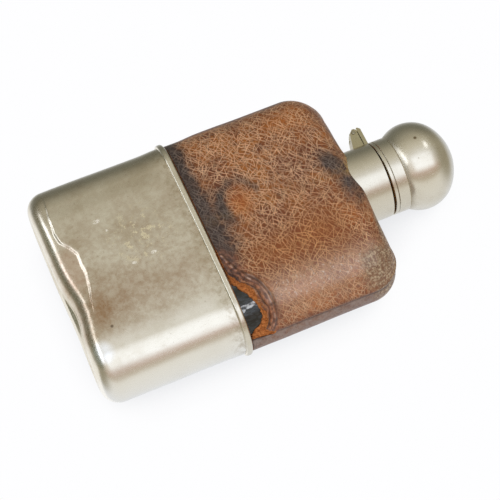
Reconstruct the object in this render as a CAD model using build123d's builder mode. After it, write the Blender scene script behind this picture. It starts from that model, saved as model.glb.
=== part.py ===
"""A glass hip flask with a half leather cover, a plated drinking cup and a captive bayonet cap.

The flask stands upright on its base: the origin is the centre of the base, +Z runs up through
the neck, the front face looks along -Y and the cap's hinge is on the -X side of the neck.
All sizes are in millimetres.
"""

from build123d import *
from math import asin, atan2, degrees
import os

# ---- Driving dimensions -------------------------------------------------------------------

# Body: one crowned oval section, shared by the cup, the leather and the glass.
body_width = 80.0
body_depth = 28.4
side_radius = 13.2

# Heights above the base.
cup_height = 49.7
leather_bottom = 50.9
shoulder_height = 106.6
collar_top = 115.6
ring_bottom = collar_top + 0.3
ring_top = ring_bottom + 1.3
band_top = ring_top + 4.2
cap_top = 142.0

# Drinking cup.
cup_wall = 0.8
cup_base_fillet = 6.4
dish_inset = 8.6
dish_depth = 1.0
dish_taper = 40.0
bead_height = 2.3
bead_proud = 1.0

# Leather cover.
leather_thickness = 1.3
shoulder_fillet = 9.0
seam_gap = 0.1

# Glass bottle.
glass_wall = 3.0
glass_base_fillet = 9.0
neck_radius = 9.2
mouth_radius = 6.4
lip_round = 0.8

# Collar and mouth ring on the neck.
neck_sheet = 0.7
collar_radius = 13.1
collar_foot = 97.2
collar_slope = 1.3
web_top = collar_top - 0.7
web_thickness = 1.0
spigot_radius = 10.0
spigot_foot = collar_top - 6.6
flange_radius = 10.9
flange_bottom = ring_top
flange_top = flange_bottom + 1.3
slot_width = 5.4
lip_height = flange_top + 0.1

# Cap.
cap_radius = 13.1
sleeve_radius = 11.9
sleeve_wall = 0.6
sleeve_foot = ring_bottom + 0.1
sleeve_top = sleeve_foot + 4.1
lug_inner_radius = 10.25
lug_width = 4.0
lug_top = flange_bottom - 0.25
retainer_radius = 12.6
retainer_height = 0.4
retainer_opening = 3.0
ball_radius = 15.4
ball_half_height = 13.0
ball_side_radius = 11.6
ball_sheet = 0.6
floor_bottom = sleeve_top + 0.1
floor_top = floor_bottom + 0.9
cork_radius = 9.8
washer_radius = 4.6
washer_thickness = 0.6
rivet_radius = 1.3
rivet_head_radius = 2.3
rivet_head = 0.5

# Hinge.
hinge_width = 6.6
hinge_reach = 7.1
pin_radius = 0.75
pin_overhang = 0.3
ear_foot = collar_top - 4.2
ear_underside = collar_top - 2.6
ear_reach = 1.3
ear_chamfer = 0.6
leaf_chamfer = 0.8
tongue_width = 2.6

# Clearances: between a turning piece and its seat, between seated pieces, and for swinging past.
running_gap = 0.07
seat_gap = 0.03
swing_gap = 0.1
edge_break = 0.15

# ---- Shared shapes ------------------------------------------------------------------------

half_width = body_width / 2
half_depth = body_depth / 2
side_centre = half_width - side_radius

# The front and back arcs are tangent to the two side arcs, which sets their radius.
face_radius = (side_centre**2 + half_depth**2 - side_radius**2) / (body_depth - 2 * side_radius)
face_centre = face_radius - half_depth

glass_inset = leather_thickness + seam_gap / 2
glass_bottom = cup_wall + dish_depth + seam_gap / 2
glass_shoulder = shoulder_height - glass_inset


def flask_section(inset):
    """The body's oval section, drawn a constant distance inside the outer surface."""
    reach = (face_radius - inset) / (face_radius - side_radius)
    tangent_x = side_centre * reach
    tangent_y = face_centre * (1 - reach)
    side_x = half_width - inset
    face_y = half_depth - inset
    with BuildSketch() as section:
        with BuildLine():
            ThreePointArc((-tangent_x, tangent_y), (0, -face_y), (tangent_x, tangent_y))
            ThreePointArc((tangent_x, tangent_y), (side_x, 0), (tangent_x, -tangent_y))
            ThreePointArc((tangent_x, -tangent_y), (0, face_y), (-tangent_x, -tangent_y))
            ThreePointArc((-tangent_x, -tangent_y), (-side_x, 0), (-tangent_x, tangent_y))
        make_face()
    return section.sketch


def body_block(inset, bottom, top, bottom_fillet=0, top_fillet=0):
    """A solid with the oval section between two heights, rounded at either end."""
    with BuildPart() as block:
        with BuildSketch(Plane.XY.offset(bottom)):
            add(flask_section(inset))
        extrude(amount=top - bottom)
        if bottom_fillet:
            fillet(block.edges().group_by(Axis.Z)[0], bottom_fillet)
        if top_fillet:
            fillet(block.edges().group_by(Axis.Z)[-1], top_fillet)
    return block.part


def dish_block(inset, bottom):
    """The shallow raised middle of the cup's base."""
    with BuildPart() as block:
        with BuildSketch(Plane.XY.offset(bottom)):
            add(flask_section(inset))
        extrude(amount=dish_depth, taper=dish_taper)
    return block.part


def tube(outer, inner, bottom, top):
    """A straight tube about the neck's axis, or a solid disc where inner is 0."""
    with BuildPart() as block:
        with BuildSketch(Plane.XY.offset(bottom)):
            Circle(outer)
            if inner:
                Circle(inner, mode=Mode.SUBTRACT)
        extrude(amount=top - bottom)
    return block.part


def outer_circles(piece):
    """A turned piece's largest circular edges."""
    return piece.edges().filter_by(GeomType.CIRCLE).group_by(SortBy.RADIUS)[-1]


# The space under the leather, used to trim whatever sits on the glass shoulder.
shoulder_space = body_block(
    glass_inset - seat_gap, glass_bottom, glass_shoulder + seat_gap, 0, shoulder_fillet - glass_inset
)

# ---- Drinking cup -------------------------------------------------------------------------

cup_cavity = body_block(cup_wall, cup_wall, cup_height + 1, cup_base_fillet - cup_wall)

with BuildPart() as cup_shell:
    add(body_block(0, 0, cup_height, cup_base_fillet))
    add(cup_cavity, mode=Mode.SUBTRACT)
    add(dish_block(dish_inset - cup_wall, cup_wall))
    add(dish_block(dish_inset, 0), mode=Mode.SUBTRACT)
cup_shell.part.label = "cup_shell"

# The bead stands proud of the cup's wall and its outer edges are rolled over.
with BuildPart() as cup_bead:
    with BuildSketch(Plane.XY.offset(cup_height - bead_height / 2)):
        add(flask_section(-bead_proud))
        add(flask_section(-seat_gap), mode=Mode.SUBTRACT)
    extrude(amount=bead_height)
    rolled_edges = cup_bead.edges().filter_by(
        lambda edge: max(abs(edge.center().X) - half_width, abs(edge.center().Y) - half_depth) > bead_proud / 2
    )
    fillet(rolled_edges.filter_by(Plane.XY), bead_proud * 0.9)
cup_bead.part.label = "cup_bead"

# ---- Glass bottle -------------------------------------------------------------------------

drink_inset = glass_inset + glass_wall
drink_bottom = glass_bottom + glass_wall + 1
drink_space = body_block(drink_inset, drink_bottom, glass_shoulder - glass_wall, 3.0, 6.0)

with BuildPart() as glass_bottle:
    add(
        body_block(
            glass_inset,
            glass_bottom,
            glass_shoulder,
            glass_base_fillet,
            shoulder_fillet - glass_inset,
        )
    )
    with BuildSketch(Plane.XY.offset(glass_shoulder - glass_wall)):
        Circle(neck_radius)
    extrude(amount=lip_height - glass_shoulder + glass_wall)
    add(drink_space, mode=Mode.SUBTRACT)
    with BuildSketch(Plane.XY.offset(glass_shoulder - 2 * glass_wall)):
        Circle(mouth_radius)
    extrude(amount=lip_height - glass_shoulder + 2 * glass_wall, mode=Mode.SUBTRACT)
    fillet(glass_bottle.edges().group_by(Axis.Z)[-1], lip_round)
glass_bottle.part.label = "glass_bottle"

# ---- Leather cover: two moulded halves that meet along the narrow sides ---------------------

leather_inside = shoulder_height - leather_thickness
with BuildPart() as leather_hollow:
    add(
        body_block(
            leather_thickness,
            leather_bottom - 1,
            leather_inside,
            0,
            shoulder_fillet - leather_thickness,
        )
    )
    add(tube(collar_radius + seam_gap, 0, collar_foot - seam_gap, shoulder_height + 1))

with BuildPart() as leather_cover:
    add(body_block(0, leather_bottom, shoulder_height, 0, shoulder_fillet))
    add(leather_hollow.part, mode=Mode.SUBTRACT)

with BuildPart() as leather_front:
    add(leather_cover.part)
    split(bisect_by=Plane.XZ.offset(seam_gap / 2), keep=Keep.TOP)
leather_front.part.label = "leather_front"

with BuildPart() as leather_back:
    add(leather_cover.part)
    split(bisect_by=Plane.XZ.offset(-seam_gap / 2), keep=Keep.BOTTOM)
leather_back.part.label = "leather_back"

# ---- Fittings on the neck -----------------------------------------------------------------

collar_bore = collar_radius - neck_sheet

# The collar's top edge falls away from the hinge, so the lid's ring clears it when it swings.
slope_plane = Plane(
    origin=(-collar_radius, 0, collar_top), z_dir=Vector(0, 0, 1).rotate(Axis.Y, collar_slope)
)

with BuildPart() as neck_collar:
    add(tube(collar_radius, collar_bore, collar_foot, collar_top + 1))
    add(shoulder_space, mode=Mode.SUBTRACT)
    split(bisect_by=slope_plane, keep=Keep.BOTTOM)
neck_collar.part.label = "neck_collar"

# The mouth ring's flange holds the cap's lugs down, and its two slots let them through.
with BuildPart() as mouth_ring:
    add(tube(spigot_radius, neck_radius + seat_gap, spigot_foot, flange_top))
    add(tube(collar_bore - seat_gap, spigot_radius - neck_sheet / 2, web_top - web_thickness, web_top))
    add(tube(flange_radius, spigot_radius - neck_sheet / 2, flange_bottom, flange_top))
    with BuildSketch(Plane.XY.offset(flange_bottom)):
        Rectangle(slot_width, 2 * flange_radius + 1)
        Circle(spigot_radius, mode=Mode.SUBTRACT)
    extrude(amount=flange_top - flange_bottom, mode=Mode.SUBTRACT)
mouth_ring.part.label = "mouth_ring"

# Cement fills the collar around the glass neck and the foot of the mouth ring.
cement_top = web_top - web_thickness - seat_gap
with BuildPart() as collar_cement:
    add(tube(collar_bore - seat_gap, neck_radius + seat_gap, collar_foot, cement_top))
    add(tube(spigot_radius + seat_gap, neck_radius, spigot_foot - seat_gap, cement_top), mode=Mode.SUBTRACT)
    add(shoulder_space, mode=Mode.SUBTRACT)
collar_cement.part.label = "collar_cement"

# ---- Hinge --------------------------------------------------------------------------------

hinge_outer_x = -collar_radius - hinge_reach
pin_x = hinge_outer_x + ear_reach
pin_z = collar_top - ear_reach
tongue_radius = ear_reach
slot_reach = tongue_radius + 4 * swing_gap

with BuildPart() as hinge_ears:
    with BuildSketch(Plane.XZ.offset(-hinge_width / 2)) as ear_outline:
        with BuildLine():
            Polyline(
                (-collar_bore, ear_foot),
                (hinge_outer_x + ear_reach, ear_underside),
                (hinge_outer_x, pin_z),
                (hinge_outer_x, collar_top - ear_chamfer),
                (hinge_outer_x + ear_chamfer, collar_top),
                (-collar_bore, collar_top),
                close=True,
            )
        make_face()
    extrude(amount=hinge_width)
    add(tube(collar_radius + seat_gap, 0, ear_foot - 1, collar_top + 1), mode=Mode.SUBTRACT)
    with Locations((pin_x, 0, pin_z)):
        Box(
            2 * slot_reach,
            tongue_width + 2 * swing_gap,
            2 * slot_reach,
            mode=Mode.SUBTRACT,
        )
        Cylinder(pin_radius + seat_gap, hinge_width + 1, rotation=(90, 0, 0), mode=Mode.SUBTRACT)
hinge_ears.part.label = "hinge_ears"

with BuildPart() as hinge_pin:
    with Locations((pin_x, 0, pin_z)):
        Cylinder(pin_radius, hinge_width + 2 * pin_overhang, rotation=(90, 0, 0))
    fillet(hinge_pin.edges().filter_by(GeomType.CIRCLE), pin_overhang)
hinge_pin.part.label = "hinge_pin"

# The leaf is soldered to the swivel ring and its tongue turns on the pin between the ears.
with BuildPart() as hinge_leaf:
    with BuildSketch(Plane.XY.offset(ring_bottom)):
        with Locations((hinge_outer_x + hinge_reach / 2 + neck_sheet, 0)):
            Rectangle(hinge_reach + 2 * neck_sheet, hinge_width)
        Circle(cap_radius + seat_gap, mode=Mode.SUBTRACT)
    extrude(amount=ring_top - ring_bottom)
    chamfer(hinge_leaf.edges().group_by(Axis.X)[0].group_by(Axis.Z)[-1], leaf_chamfer)
    with BuildSketch(Plane.XZ.offset(-tongue_width / 2)):
        with Locations((pin_x, pin_z)):
            Circle(tongue_radius)
        with Locations((pin_x, (pin_z + ring_bottom) / 2)):
            Rectangle(2 * tongue_radius, ring_bottom - pin_z)
    extrude(amount=tongue_width)
    with Locations((pin_x, 0, pin_z)):
        Cylinder(pin_radius + running_gap, hinge_width, rotation=(90, 0, 0), mode=Mode.SUBTRACT)
hinge_leaf.part.label = "hinge_leaf"

# ---- Swivel ring and cap ------------------------------------------------------------------

# The ring is recessed underneath for the retaining ring that keeps the cap in it.
with BuildPart() as swivel_ring:
    add(tube(cap_radius, sleeve_radius + running_gap, ring_bottom, ring_top))
    recess_top = sleeve_foot + retainer_height + swing_gap
    add(
        tube(retainer_radius + swing_gap, sleeve_radius, ring_bottom, recess_top),
        mode=Mode.SUBTRACT,
    )
    chamfer(outer_circles(swivel_ring), edge_break)
swivel_ring.part.label = "swivel_ring"

# The sleeve carries the two lugs that turn under the mouth ring's flange.
with BuildPart() as bayonet_sleeve:
    add(tube(sleeve_radius, sleeve_radius - sleeve_wall, sleeve_foot, sleeve_top))
    with BuildSketch(Plane.XY.offset(sleeve_foot)):
        Rectangle(lug_width, 2 * (sleeve_radius - sleeve_wall / 2))
        Circle(lug_inner_radius, mode=Mode.SUBTRACT)
    extrude(amount=lug_top - sleeve_foot)
bayonet_sleeve.part.label = "bayonet_sleeve"

with BuildPart() as retaining_ring:
    with BuildSketch(Plane.XY.offset(sleeve_foot)):
        Circle(retainer_radius)
        Circle(sleeve_radius + seat_gap, mode=Mode.SUBTRACT)
        with Locations((retainer_radius, 0)):
            Rectangle(retainer_radius, retainer_opening, mode=Mode.SUBTRACT)
    extrude(amount=retainer_height)
retaining_ring.part.label = "retaining_ring"

band_bottom = ring_top + swing_gap
with BuildPart() as cap_band:
    add(tube(cap_radius, sleeve_radius + seat_gap, band_bottom, band_top))
    chamfer(outer_circles(cap_band), edge_break)
cap_band.part.label = "cap_band"

# The dome is a slightly flattened hollow ball that starts on the band. Its outline is a side arc
# and a top arc that meet in a tangent.
ball_centre = cap_top - ball_half_height
ball_side_x = ball_radius - ball_side_radius
ball_top_radius = (ball_side_x**2 + ball_half_height**2 - ball_side_radius**2) / (
    2 * (ball_half_height - ball_side_radius)
)
ball_top_centre = cap_top - ball_top_radius
ball_turn = degrees(atan2(ball_centre - ball_top_centre, ball_side_x))
ball_foot = band_top + seat_gap


def ball_block(shrink):
    """The solid ball above the band, drawn a little inside the dome's outer surface."""
    side_radius_here = ball_side_radius - shrink
    foot_turn = -degrees(asin((ball_centre - ball_foot) / side_radius_here))
    with BuildPart() as block:
        with BuildSketch(Plane.XZ):
            with BuildLine():
                side = CenterArc((ball_side_x, ball_centre), side_radius_here, foot_turn, ball_turn - foot_turn)
                top = CenterArc((0, ball_top_centre), ball_top_radius - shrink, ball_turn, 90 - ball_turn)
                Polyline(top @ 1, (0, ball_foot), side @ 0)
            make_face()
        revolve(axis=Axis.Z)
    return block.part


with BuildPart() as cap_dome:
    add(ball_block(0))
    add(ball_block(ball_sheet), mode=Mode.SUBTRACT)
cap_dome.part.label = "cap_dome"

with BuildPart() as cap_floor:
    add(tube(sleeve_radius, rivet_radius + seat_gap, floor_bottom, floor_top))
cap_floor.part.label = "cap_floor"

# ---- Seal: cork, washer and the rivet through them ------------------------------------------

cork_bottom = lip_height + seat_gap
cork_top = floor_bottom - seat_gap
with BuildPart() as cork_seal:
    add(tube(cork_radius, rivet_radius + seat_gap, cork_bottom, cork_top))
    fillet(outer_circles(cork_seal), 2 * edge_break)
cork_seal.part.label = "cork_seal"

washer_top = cork_bottom - seat_gap
washer_bottom = washer_top - washer_thickness
with BuildPart() as seal_washer:
    add(tube(washer_radius, rivet_radius + seat_gap, washer_bottom, washer_top))
    chamfer(outer_circles(seal_washer), edge_break)
seal_washer.part.label = "seal_washer"

with BuildPart() as seal_rivet:
    rivet_foot = washer_bottom - seat_gap - rivet_head
    rivet_top = floor_top + seat_gap + rivet_head
    add(tube(rivet_radius, 0, rivet_foot, rivet_top))
    add(tube(rivet_head_radius, 0, rivet_foot, rivet_foot + rivet_head))
    add(tube(rivet_head_radius, 0, rivet_top - rivet_head, rivet_top))
    head_edges = seal_rivet.edges().filter_by(GeomType.CIRCLE)
    fillet([head_edges.sort_by(Axis.Z)[0], head_edges.sort_by(Axis.Z)[-1]], rivet_head * 0.8)
seal_rivet.part.label = "seal_rivet"

# ---- Export -------------------------------------------------------------------------------

os.makedirs("parts", exist_ok=True)
for piece in (
    cup_shell,
    cup_bead,
    glass_bottle,
    leather_front,
    leather_back,
    neck_collar,
    mouth_ring,
    collar_cement,
    hinge_ears,
    hinge_pin,
    hinge_leaf,
    swivel_ring,
    bayonet_sleeve,
    retaining_ring,
    cap_band,
    cap_dome,
    cap_floor,
    cork_seal,
    seal_washer,
    seal_rivet,
):
    export_step(piece.part, f"parts/{piece.part.label}.step")
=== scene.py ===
"""Looks of the hip flask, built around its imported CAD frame.

The flask stands upright in the frame: +Z runs up through the neck and the front face looks along -Y.
The camera sees it as it lies on its back, so the table is a plane behind it and "overhead" is -Y.
Lengths are written in millimetres and turned into metres where a mesh, light or camera is made.
"""

import math

import bmesh
import bpy
import numpy as np
from mathutils import Matrix, Vector


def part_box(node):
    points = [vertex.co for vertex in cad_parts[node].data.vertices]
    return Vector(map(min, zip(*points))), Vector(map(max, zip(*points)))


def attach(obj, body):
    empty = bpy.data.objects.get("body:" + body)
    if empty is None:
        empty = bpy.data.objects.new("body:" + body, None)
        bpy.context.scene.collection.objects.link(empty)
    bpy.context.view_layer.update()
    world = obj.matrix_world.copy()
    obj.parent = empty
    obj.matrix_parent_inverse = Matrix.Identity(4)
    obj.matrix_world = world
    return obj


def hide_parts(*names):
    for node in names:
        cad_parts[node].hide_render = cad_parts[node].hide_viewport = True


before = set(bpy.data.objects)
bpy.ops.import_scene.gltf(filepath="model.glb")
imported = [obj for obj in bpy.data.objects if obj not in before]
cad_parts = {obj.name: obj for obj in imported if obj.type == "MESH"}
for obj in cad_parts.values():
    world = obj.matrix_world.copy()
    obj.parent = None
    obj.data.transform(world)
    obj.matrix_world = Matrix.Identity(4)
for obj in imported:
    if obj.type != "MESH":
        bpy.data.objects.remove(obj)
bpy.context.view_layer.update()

MM = 0.001


def node_box(node):
    """A CAD node's lowest and highest corners in millimetres."""
    low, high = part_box(node)
    return np.array(low) / MM, np.array(high) / MM


# ---- Sizes, most of them taken from the frame ----

cup_high = node_box("cup_shell")[1]
leather_low, leather_high = node_box("leather_front")
collar_high = node_box("neck_collar")[1]

HALF_WIDTH = cup_high[0]
HALF_DEPTH = 14.2
SIDE_RADIUS = 13.2
COLLAR_RADIUS = collar_high[0]
RIM = cup_high[2]
LEATHER_FOOT = leather_low[2]
SHOULDER = leather_high[2]

SIDE_CENTRE = HALF_WIDTH - SIDE_RADIUS
FACE_RADIUS = (SIDE_CENTRE**2 + HALF_DEPTH**2 - SIDE_RADIUS**2) / (2 * (HALF_DEPTH - SIDE_RADIUS))
FACE_CENTRE = FACE_RADIUS - HALF_DEPTH

# A quarter of the outline is half of a side arc and half of a face arc.
SIDE_ANGLE = math.atan2(FACE_CENTRE, SIDE_CENTRE)
SIDE_ARC = SIDE_RADIUS * SIDE_ANGLE
FACE_ARC = FACE_RADIUS * (math.pi / 2 - SIDE_ANGLE)
QUARTER = SIDE_ARC + FACE_ARC


def smooth(low, high, value):
    """0 below low, 1 above high and a smooth rise between. With high below low it falls instead."""
    t = np.clip((value - low) / (high - low), 0, 1)
    return t * t * (3 - 2 * t)


def bump(value, centre, width):
    """A soft hill of height 1."""
    return np.exp(-(((value - centre) / width) ** 2))


# ---- The oval outline ----


def outline(travel):
    """Points and outward normals of the outline, by arc length from the +X side round through the front."""
    travel = np.mod(np.asarray(travel, float), 4 * QUARTER)
    quarter = np.floor(travel / QUARTER).astype(int)
    odd = quarter % 2 == 1
    run = travel - quarter * QUARTER
    run = np.where(odd, QUARTER - run, run)
    on_side = run < SIDE_ARC
    side_turn = np.minimum(run, SIDE_ARC) / SIDE_RADIUS
    face_turn = (QUARTER - run) / FACE_RADIUS
    normal_x = np.where(on_side, np.cos(side_turn), np.sin(face_turn))
    normal_y = np.where(on_side, -np.sin(side_turn), -np.cos(face_turn))
    x = np.where(on_side, SIDE_CENTRE + SIDE_RADIUS * normal_x, FACE_RADIUS * normal_x)
    y = np.where(on_side, SIDE_RADIUS * normal_y, FACE_CENTRE + FACE_RADIUS * normal_y)
    flip_x = np.where((quarter == 1) | (quarter == 2), -1, 1)
    flip_y = np.where(quarter >= 2, -1, 1)
    points = np.stack([x * flip_x, y * flip_y], -1)
    normals = np.stack([normal_x * flip_x, normal_y * flip_y], -1)
    return points, normals


def slack(travel):
    """Where the section is a little slacker than true arcs, between the front and the sides."""
    half_run = np.mod(travel, 2 * QUARTER)
    from_side = np.minimum(half_run, 2 * QUARTER - half_run)
    return 0.55 * smooth(26.0, 16.5, from_side) * smooth(0.0, 14.0, from_side)


def depth_inside(x, y):
    """How far a plan point lies inside the outline."""
    x, y = np.abs(x), np.abs(y)
    from_side = SIDE_RADIUS - np.hypot(x - SIDE_CENTRE, y)
    from_face = FACE_RADIUS - np.hypot(x, y + FACE_CENTRE)
    beside = y < (x - SIDE_CENTRE) * FACE_CENTRE / SIDE_CENTRE
    return np.where(beside, from_side, from_face)


# ---- Smooth seeded noise on the surface ----

LATTICE = 64


def lattice_noise(u, v, size, seed):
    """Smooth value noise between -1 and 1 with cells of the given size."""
    table = np.random.default_rng(seed).uniform(-1, 1, (LATTICE, LATTICE))
    u, v = np.asarray(u) / size, np.asarray(v) / size
    iu, iv = np.floor(u).astype(int), np.floor(v).astype(int)
    fu, fv = u - iu, v - iv
    fu, fv = fu * fu * (3 - 2 * fu), fv * fv * (3 - 2 * fv)

    def corner(right, up):
        """The table's values at a corner of each point's cell."""
        return table[(iu + right) % LATTICE, (iv + up) % LATTICE]

    low = corner(0, 0) * (1 - fu) + corner(1, 0) * fu
    high = corner(0, 1) * (1 - fu) + corner(1, 1) * fu
    return low * (1 - fv) + high * fv


def fractal(u, v, size, seed, octaves=3):
    """A few octaves of lattice noise."""
    total, weight = 0, 1
    for octave in range(octaves):
        total = total + weight * lattice_noise(u, v, size / 2**octave, seed + octave)
        weight *= 0.5
    return total


# ---- Mesh making ----

WELD = 2e-6  # metres


def grid_faces(rows, columns, closed=False, flip=False):
    """Quads of a grid whose points are stored row by row."""
    i, j = np.meshgrid(np.arange(rows - 1), np.arange(columns if closed else columns - 1), indexing="ij")
    k = (j + 1) % columns
    quads = np.stack([i * columns + j, i * columns + k, (i + 1) * columns + k, (i + 1) * columns + j], -1)
    quads = quads.reshape(-1, 4)
    return quads[:, ::-1] if flip else quads


def make_object(name, points, faces, materials, flat, slots, fields=None):
    """A smooth-shaded closed mesh from points in millimetres, with its flat map, slots and point fields."""
    mesh = bpy.data.meshes.new(name)
    mesh.from_pydata((np.asarray(points) * MM).tolist(), [], faces)
    for material in materials:
        mesh.materials.append(material)
    mesh.polygons.foreach_set("use_smooth", [True] * len(mesh.polygons))
    mesh.polygons.foreach_set("material_index", np.asarray(slots, np.int32))
    layer = mesh.uv_layers.new(name="flat")
    corner = np.empty(len(mesh.loops), np.int32)
    mesh.loops.foreach_get("vertex_index", corner)
    layer.data.foreach_set("uv", np.asarray(flat, np.float32)[corner].ravel())
    for key, values in (fields or {}).items():
        mesh.attributes.new(key, "FLOAT", "POINT").data.foreach_set("value", np.asarray(values, np.float32))
    mesh.update()
    clean_mesh(mesh)
    piece = bpy.data.objects.new(name, mesh)
    bpy.context.scene.collection.objects.link(piece)
    return piece


def clean_mesh(mesh):
    """Welds points that coincide, drops faces that vanish and turns every face outward."""
    work = bmesh.new()
    work.from_mesh(mesh)
    bmesh.ops.remove_doubles(work, verts=work.verts, dist=WELD)
    bmesh.ops.dissolve_degenerate(work, edges=work.edges, dist=WELD)
    bmesh.ops.recalc_face_normals(work, faces=work.faces)
    work.to_mesh(mesh)
    work.free()


# ---- Shader helpers ----


def rgb(red, green, blue):
    """A display colour, 0 to 255, as the linear colour that shaders use."""
    shares = (red / 255, green / 255, blue / 255)
    linear = [c / 12.92 if c <= 0.04045 else ((c + 0.055) / 1.055) ** 2.4 for c in shares]
    return (*linear, 1.0)


class Shader:
    """Short names for building one node tree. Values may be numbers, colours or sockets."""

    def __init__(self, tree):
        self.tree = tree
        tree.nodes.clear()

    def node(self, kind, settings=None, inputs=None):
        made = self.tree.nodes.new(kind)
        for key, value in (settings or {}).items():
            setattr(made, key, value)
        for key, value in (inputs or {}).items():
            if isinstance(value, bpy.types.NodeSocket):
                self.tree.links.new(value, made.inputs[key])
            else:
                made.inputs[key].default_value = value
        return made

    def math(self, operation, a, b=0.0, clamp=False):
        settings = {"operation": operation, "use_clamp": clamp}
        return self.node("ShaderNodeMath", settings, {0: a, 1: b}).outputs[0]

    def plus(self, a, b):
        return self.math("ADD", a, b)

    def minus(self, a, b):
        return self.math("SUBTRACT", a, b)

    def times(self, a, b, clamp=False):
        return self.math("MULTIPLY", a, b, clamp)

    def larger(self, a, b):
        return self.math("MAXIMUM", a, b)

    def size(self, a):
        return self.math("ABSOLUTE", a)

    def centred(self, value, swing):
        """A value from 0 to 1 moved to swing round 0."""
        return self.times(self.minus(value, 0.5), swing)

    def vector_math(self, operation, inputs):
        return self.node("ShaderNodeVectorMath", {"operation": operation}, inputs).outputs

    def axes(self, vector):
        return self.node("ShaderNodeSeparateXYZ", None, {0: vector}).outputs

    def mix(self, factor, a, b):
        return self.node("ShaderNodeMix", {"data_type": "RGBA"}, {0: factor, 6: a, 7: b}).outputs[2]

    def tint(self, colour, mask, amount, shade):
        """The colour, moved by amount towards a display colour where the mask is 1."""
        return self.mix(self.times(mask, amount), colour, rgb(*shade))

    def ramp(self, value, low, high, start=0.0, end=1.0):
        """start below low, end above high and a smooth change between."""
        inputs = {0: value, 1: low, 2: high, 3: start, 4: end}
        return self.node("ShaderNodeMapRange", {"interpolation_type": "SMOOTHSTEP"}, inputs).outputs[0]

    def place(self, vector, scale=(1, 1, 1), turn=(0, 0, 0), move=(0, 0, 0)):
        """The vector turned (degrees) and moved, and then scaled."""
        turn = [math.radians(angle) for angle in turn]
        turned = self.node("ShaderNodeMapping", None, {0: vector, 1: move, 2: turn})
        return self.node("ShaderNodeMapping", None, {0: turned.outputs[0], 3: scale}).outputs[0]

    def noise(self, vector, scale, detail=3.0, rough=0.5, twist=0.0):
        inputs = {"Vector": vector, "Scale": scale, "Detail": detail, "Roughness": rough, "Distortion": twist}
        return self.node("ShaderNodeTexNoise", None, inputs).outputs[0]

    def blots(self, vector, scale, low, high):
        """1 close to the centres of scattered cells and 0 away from them."""
        inputs = {"Vector": vector, "Scale": scale}
        distance = self.node("ShaderNodeTexVoronoi", {"feature": "F1"}, inputs).outputs[0]
        return self.ramp(distance, low, high, 1.0, 0.0)

    def hairs(self, vector, scale, width):
        """Thin lines where a noise crosses its middle value."""
        field = self.noise(vector, scale, 2.0, 0.35, 0.2)
        return self.ramp(self.size(self.minus(field, 0.5)), 0.0, width, 1.0, 0.0)

    def strokes(self, vector, turn, spacing, length, width, sway=0.35):
        """Straight separate strokes, one to a cell, all within sway (a slope) of one direction."""
        turned = self.place(vector, (1 / spacing, 1 / length, 1), (0, 0, turn), (turn, -turn, 0))
        settings = {"voronoi_dimensions": "2D", "feature": "F1"}
        cell = self.node("ShaderNodeTexVoronoi", settings, {"Vector": turned, "Scale": 1.0}).outputs
        across, along, _ = self.axes(self.vector_math("SUBTRACT", {0: turned, 1: cell["Position"]})[0])
        chance = self.node("ShaderNodeSeparateColor", None, {0: cell["Color"]}).outputs
        lean = self.times(self.centred(chance[0], 2 * sway * length), along)
        aside = self.size(self.plus(self.times(across, spacing), lean))
        line = self.ramp(aside, 0.35 * width, width, 1.0, 0.0)
        taper = self.ramp(self.size(along), 0.34, 0.60, 1.0, 0.0)
        shown = self.ramp(chance[1], 0.02, 0.55, 0.35, 1.0)
        return self.times(self.times(line, taper), shown)

    def spot(self, vector, centre, radius, soft=0.5):
        """1 near a point, fading to 0 between the soft share of the radius and the radius."""
        away = self.vector_math("DISTANCE", {0: vector, 1: centre})["Value"]
        return self.ramp(self.math("DIVIDE", away, radius), soft, 1.0, 1.0, 0.0)

    def field(self, name):
        """A mask stored on the mesh's points."""
        return self.node("ShaderNodeAttribute", {"attribute_name": name}).outputs["Fac"]

    def flat(self):
        """The flat map in millimetres."""
        return self.node("ShaderNodeUVMap", {"uv_map": "flat"}).outputs[0]

    def place_mm(self):
        """The point on the object in millimetres."""
        vector = self.node("ShaderNodeTexCoord").outputs["Object"]
        return self.vector_math("SCALE", {0: vector, "Scale": 1 / MM})[0]

    def bumps(self, height, depth_mm):
        return self.node("ShaderNodeBump", None, {"Height": height, "Distance": depth_mm * MM}).outputs[0]

    def surface(self, **inputs):
        """A principled surface as the material's output. An underscore in a name stands for a space."""
        named = {key.replace("_", " "): value for key, value in inputs.items()}
        shader = self.node("ShaderNodeBsdfPrincipled", None, named)
        self.node("ShaderNodeOutputMaterial", None, {0: shader.outputs[0]})


def new_material(name):
    """An empty material and the Shader that fills it."""
    material = bpy.data.materials.new(name)
    material.use_nodes = True
    return material, Shader(material.node_tree)


# ---- Metals ----


def silver_plate(name, rough, dirt=1.0, base=(236, 230, 216), marks=None):
    """Old plate: warm, finely scratched, with a faint brown tarnish. marks adds more to one piece."""
    material, s = new_material(name)
    at = s.place_mm()
    cloud = s.noise(at, 0.07, 5.0, 0.6)
    colour = s.tint(rgb(*base), s.ramp(cloud, 0.42, 0.72), 0.30 * dirt, (176, 158, 122))
    upright = s.hairs(s.place(at, (1, 1, 0.22), (14, 8, 31)), 0.9, 0.012)
    level = s.hairs(s.place(at, (1, 0.2, 1), (-21, 35, 12)), 0.7, 0.010)
    scratches = s.larger(upright, level)
    speck = s.ramp(s.noise(at, 1.1, 2.0, 0.6), 0.66, 0.74)
    colour = s.tint(colour, speck, 0.22 * dirt, (120, 104, 74))
    roughness = s.plus(s.times(cloud, 0.16), rough - 0.06)
    roughness = s.plus(roughness, s.times(scratches, 0.12))
    height = s.plus(s.noise(at, 0.35, 2.0), s.times(scratches, -0.05))
    if marks:
        colour, roughness = marks(s, at, colour, roughness)
    s.surface(Base_Color=colour, Metallic=1.0, Roughness=roughness, Normal=s.bumps(height, 0.02))
    return material


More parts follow.
